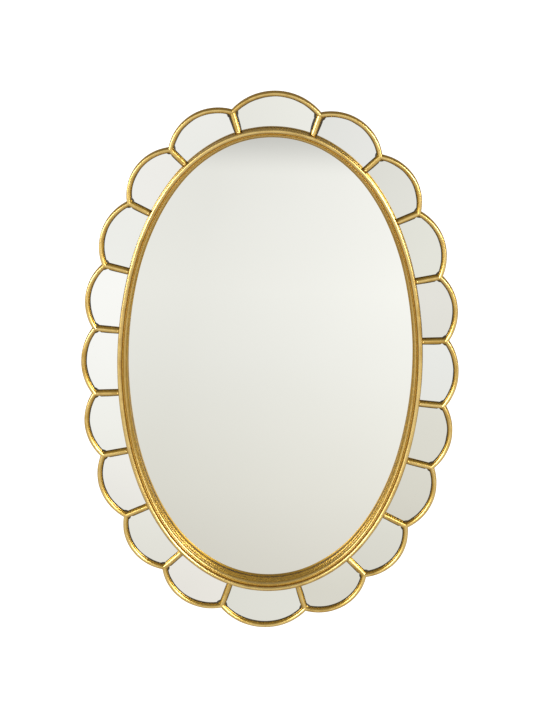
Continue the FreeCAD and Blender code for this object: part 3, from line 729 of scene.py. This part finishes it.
# small lumps of filler where bars meet, at the notches and along the ring
joint = {
    "crest": {"along": -0.6, "reach": 3.9, "top": 30.35}, "foot": {"along": 0.2, "reach": 3.3, "top": 31.6},
    "points": 18, "shells": ((1.0, 3.4), (0.86, 1.6), (0.6, 0.6), (0.3, 0.12)),  # share of reach, and drop
    "lopsided": 0.10, "turnPace": 0.7, "wobble": 0.05, "stain": 0.3,
}
body = newBody()
for divider in dividers:
    for end in ("crest", "foot"):
        lump = joint[end]
        spot = divider[end] + divider["way"] * lump["along"]
        shells = []
        for share, under in joint["shells"]:
            shell = []
            for k in range(joint["points"]):
                swell = 1 + joint["lopsided"] * wander(spot, 1, k * joint["turnPace"])
                p = spot + heading(math.tau * k / joint["points"]) * (lump["reach"] * share * swell)
                height = lump["top"] - under + random.uniform(-joint["wobble"], joint["wobble"])
                shell.append(addPoint(body, offWall(p, height), joint["stain"] * share))
            shells.append(shell)
        for one, two in zip(shells, shells[1:]):
            addStrip(body, one + one[:1], two + two[:1])
        body.faces.new(shells[-1])
placePiece("bar_joints", body, gildedIron, [], sharp=60)
print("joints filled")


# a dark band round each petal glass, wider beside the two upright bars at the top
darkBand = {
    "atRim": 1.5, "atBar": 0.9, "atTopBar": 3.0, "atRing": 0.7, "behindBar": 1.7, "cornerFill": 1.6,
    "wallRise": 1.2, "ringRise": 0.9, "glassRise": 0.08, "footShare": 0.45, "fullBy": 1.4, "heart": 18,
    "barSteps": 12, "cornerSteps": 8, "rimSteps": 36, "ringSteps": 24, "uneven": 0.3, "pace": 0.06,
}


def lineMeetsOval(point, way):
    # slides down a divider's side to the ring's outer wall, by halving the stretch where it lies
    low, high, halvings = -80.0, 5.0, 40
    for halving in range(halvings):
        middle = (low + high) / 2
        if ovalDepth(point + way * middle)[0] > 0:
            high = middle
        else:
            low = middle
    return point + way * high


def cellEdge(petal, divider, side):
    # wall line of a cell from the ring along a divider to the rim, with the putty's width at each point
    centre, onSide, onRim = cellCorner(petal, divider, side)
    foot = lineMeetsOval(onSide, divider["way"])
    besideTop = divider is dividers[0] or divider is dividers[-1]
    width = darkBand["atTopBar"] if besideTop else darkBand["atBar"]
    line = []
    for k in range(darkBand["barSteps"]):
        f = k / darkBand["barSteps"]
        opened = math.sin(math.pi * min(f * darkBand["fullBy"], 1) / 2)
        line.append((foot.lerp(onSide, f), width * (darkBand["footShare"] + (1 - darkBand["footShare"]) * opened)))
    for k, p in enumerate(arcPoints(centre, onSide, onRim, darkBand["cornerSteps"])):
        f = k / darkBand["cornerSteps"]
        line.append((p, width + (darkBand["atRim"] - width) * f + darkBand["cornerFill"] * math.sin(math.pi * f)))
    return line


body = newBody()
for petal in petals:
    first, last = (cellEdge(petal, divider, side) for divider, side in petal["sides"])
    bend = arcPoints(petal["centre"], first[-1][0], last[-1][0], darkBand["rimSteps"])[1:-1]
    outline = first + [(p, darkBand["atRim"]) for p in bend] + last[::-1]
    start, end = outline[0][0], outline[-1][0]
    heart = (start + end) / 2 + petal["outward"] * darkBand["heart"]
    seed = random.uniform(0, 50)
    wall, rest = [], []
    for k, (p, width) in enumerate(outline):
        before, after = outline[max(k - 1, 0)][0], outline[min(k + 1, len(outline) - 1)][0]
        inward = -leftOf((after - before).normalized())
        if inward.dot(heart - p) < 0:
            inward = -inward
        width *= 1 + darkBand["uneven"] * wander(p, darkBand["pace"], seed)
        if not darkBand["barSteps"] <= k < len(outline) - darkBand["barSteps"]:
            width += darkBand["behindBar"] * max(0, -inward.y)  # a bar hides part of what lies under it
        wall.append(addPoint(body, offWall(p, glassTop + darkBand["wallRise"])))
        rest.append(addPoint(body, offWall(p + inward * width, glassTop + darkBand["glassRise"])))
    addStrip(body, wall, rest)
    wall, rest = [], []
    for k in range(darkBand["ringSteps"] + 1):
        edge = ovalDepth(end.lerp(start, k / darkBand["ringSteps"]))[1]
        out = edge + (petal["centre"] - edge).normalized() * darkBand["atRing"]
        wall.append(addPoint(body, offWall(edge, glassTop + darkBand["ringRise"])))
        rest.append(addPoint(body, offWall(out, glassTop + darkBand["glassRise"])))
    addStrip(body, wall, rest)
placePiece("petal_putty", body, darkBandFinish, [], sharp=60)
print("putty run in")


# finishes of the parts that keep their solid shape: each petal glass has a painted reflection tone for its
# zone, lighter on the left and darker at the upper and lower right

petalReflectionTones = {
    "zones": [
        "top", "right", "upperRight", "upperRight", "upperRight", "right", "lowerRight", "lowerRight",
        "bottomRight", "top", "bottom", "bottomLeft", "lowerLeft", "left", "lowerLeft", "left", "left",
        "upperLeft", "upperLeft", "upperLeft",
    ],
    # painted reflection: how bright each zone's glass looks with what it reflects
    "top": (0.805, 0.805, 0.755), "upperRight": (0.665, 0.66, 0.605), "right": (0.73, 0.73, 0.705),
    "lowerRight": (0.67, 0.665, 0.61), "bottomRight": (0.765, 0.765, 0.72), "bottom": (0.88, 0.905, 0.875),
    "bottomLeft": (1.0, 1.0, 0.99), "lowerLeft": (0.92, 0.93, 0.90), "left": (0.935, 0.935, 0.915),
    "upperLeft": (0.855, 0.85, 0.82),
    "toneSpread": (0.994, 1.006), "cast": 0.98, "rippleScales": (14, 15, 16, 17),
}


def dress(node, material):
    for slot in bpy.data.objects[node].material_slots:
        slot.material = material


scales = petalReflectionTones["rippleScales"]
for k, zone in enumerate(petalReflectionTones["zones"]):
    tone = tuple(value * random.uniform(*petalReflectionTones["toneSpread"]) for value in petalReflectionTones[zone])
    look = glassLook(tone, petalReflectionTones["cast"], rippleScale=scales[k % len(scales)])
    number = "%02d" % (k + 1)
    dress("petal_mirror_" + number, finish("petal_silvering_" + number, silvering, look))

kept = {
    "centre_mirror": centreGlass, "carrier_board": boardPaint, "back_board": hardboard,
    "retainer_clips": zincSteel, "clip_screws": zincSteel, "hanger_screws": zincSteel,
    "hanger_strap_left": zincSteel, "hanger_strap_right": zincSteel, "d_ring_left": zincSteel,
    "d_ring_right": zincSteel, "wall_pad_upper_right": feltPad, "wall_pad_lower_right": feltPad,
    "wall_pad_lower_left": feltPad, "wall_pad_upper_left": feltPad,
}
for name, material in kept.items():
    dress(name, material)
print("glass, board and fittings finished")


# pale floor that glows, with painted light and shade on it, soft lights left and right, and a room that is
# darker overhead

studio = {
    "floorDrop": 1.2, "floorSize": 60, "glowStrength": 1.15,
    "glow": (1.1, 1.1, 1.089), "shade": (0.64, 0.64, 0.6272),
    # the floor's emission paints its light and shade: it glows behind the mirror, and has painted shadow
    # under it and
    # painted shade far to the sides: metres in front where the front's painted falloff begins and where the
    # glow behind has ended, and square metres to the side
    "frontRange": (0.9, 1.6), "backRange": (-1.0, -0.3), "sideRange": (2.0, 12.0),
    # the front's painted light falloff, from near to frontReach metres away, and across sideReach metres to
    # each side
    "frontReach": 6.5, "sideReach": 0.45,
    "frontTones": [(0.29, (0.77, 0.75, 0.71)), (0.38, (0.87, 0.86, 0.83)), (0.45, (0.92, 0.915, 0.895)),
                   (0.53, (0.96, 0.96, 0.955)), (0.63, (1, 1, 1)), (0.80, (0.98, 0.98, 0.985)),
                   (0.95, (0.97, 0.97, 0.97))],
    "sideTones": [(0.1, (0.885, 0.885, 0.875)), (0.5, (0.95, 0.95, 0.945)), (0.9, (1.02, 1.02, 1.02))],
    # the room's tones from the horizon up, which the camera itself doesn't see
    "roomTones": [(0.0, (1.1, 1.1, 1.1)), (0.05, (1.1, 1.1, 1.1)), (0.18, (0.58, 0.58, 0.59)),
                  (0.4, (0.42, 0.42, 0.43)), (1.0, (0.42, 0.42, 0.42))],
    "rightLamp": {"at": (2.4, -2.8, 0.8), "size": (1.8, 1.1), "power": 125},
    "leftLamp": {"at": (-2.45, -2.8, 0.25), "size": (1.8, 1.0), "power": 80},
    "lampTint": (0.94, 1.0, 0.98),
}
body = bmesh.new()
half = studio["floorSize"] / 2
body.faces.new([body.verts.new((x * half, y * half, -studio["floorDrop"]))
                for x, y in ((-1, -1), (1, -1), (1, 1), (-1, 1))])
mesh = bpy.data.meshes.new("floor")
body.to_mesh(mesh)
body.free()
floor = bpy.data.objects.new("floor", mesh)
bpy.context.collection.objects.link(floor)


def paleFloor(start, look):
    place = objectPlace(start)
    x = place.node("ShaderNodeSeparateXYZ", {}, {0: place}, "X")
    y = place.node("ShaderNodeSeparateXYZ", {}, {0: place}, "Y")
    along = start.node("ShaderNodeValToRGB", {"stops": look["frontTones"]},
                       {0: y * (-1 / look["frontReach"])})
    across = start.node("ShaderNodeValToRGB", {"stops": look["sideTones"]},
                        {0: x * (0.5 / look["sideReach"]) + 0.5})
    front = start.node("ShaderNodeMix", {"data_type": "RGBA", "blend_type": "MULTIPLY"},
                       {0: 1.0, 6: along, 7: across}, 2)
    # painted shadow under the mirror and painted shade far to the sides; the front keeps its painted falloff
    beside = (x * x).between(*look["sideRange"])
    under = (-1 * y).between(*look["backRange"])
    behind = (1 - (1 - beside) * (1 - under)).tint(look["glow"], look["shade"])
    front = beside.tint(front, look["shade"])
    colour = (-1 * y).between(*look["frontRange"]).tint(behind, front)
    return {"Base Color": (0, 0, 0), "Specular IOR Level": 0.0, "Roughness": 1.0,
            "Emission Color": colour, "Emission Strength": look["glowStrength"]}


floor.data.materials.append(finish("pale_floor", paleFloor, studio))
for name in ("rightLamp", "leftLamp"):
    lamp = studio[name]
    light = bpy.data.lights.new(name, "AREA")
    light.shape, light.size, light.size_y, light.energy = "RECTANGLE", *lamp["size"], lamp["power"]
    light.color = studio["lampTint"]
    lampObject = bpy.data.objects.new(name, light)
    lampObject.location = lamp["at"]
    lampObject.rotation_euler = (-Vector(lamp["at"])).to_track_quat("-Z", "Y").to_euler()
    bpy.context.collection.objects.link(lampObject)

room = bpy.data.worlds.new("room")
bpy.context.scene.world = room
room.use_nodes = True
room.node_tree.nodes.clear()
start = Wire(room.node_tree)
way = start.node("ShaderNodeTexCoord", {}, {}, "Generated")
height = start.node("ShaderNodeSeparateXYZ", {}, {0: way}, "Z")
seen = start.node("ShaderNodeLightPath", {}, {}, "Is Camera Ray")
tones = start.node("ShaderNodeValToRGB", {"stops": studio["roomTones"]}, {0: height})
background = start.node("ShaderNodeBackground", {}, {0: seen.tint(tones, (1, 1, 1)), 1: 1.0})
start.node("ShaderNodeOutputWorld", {}, {0: background})
print("studio lit")
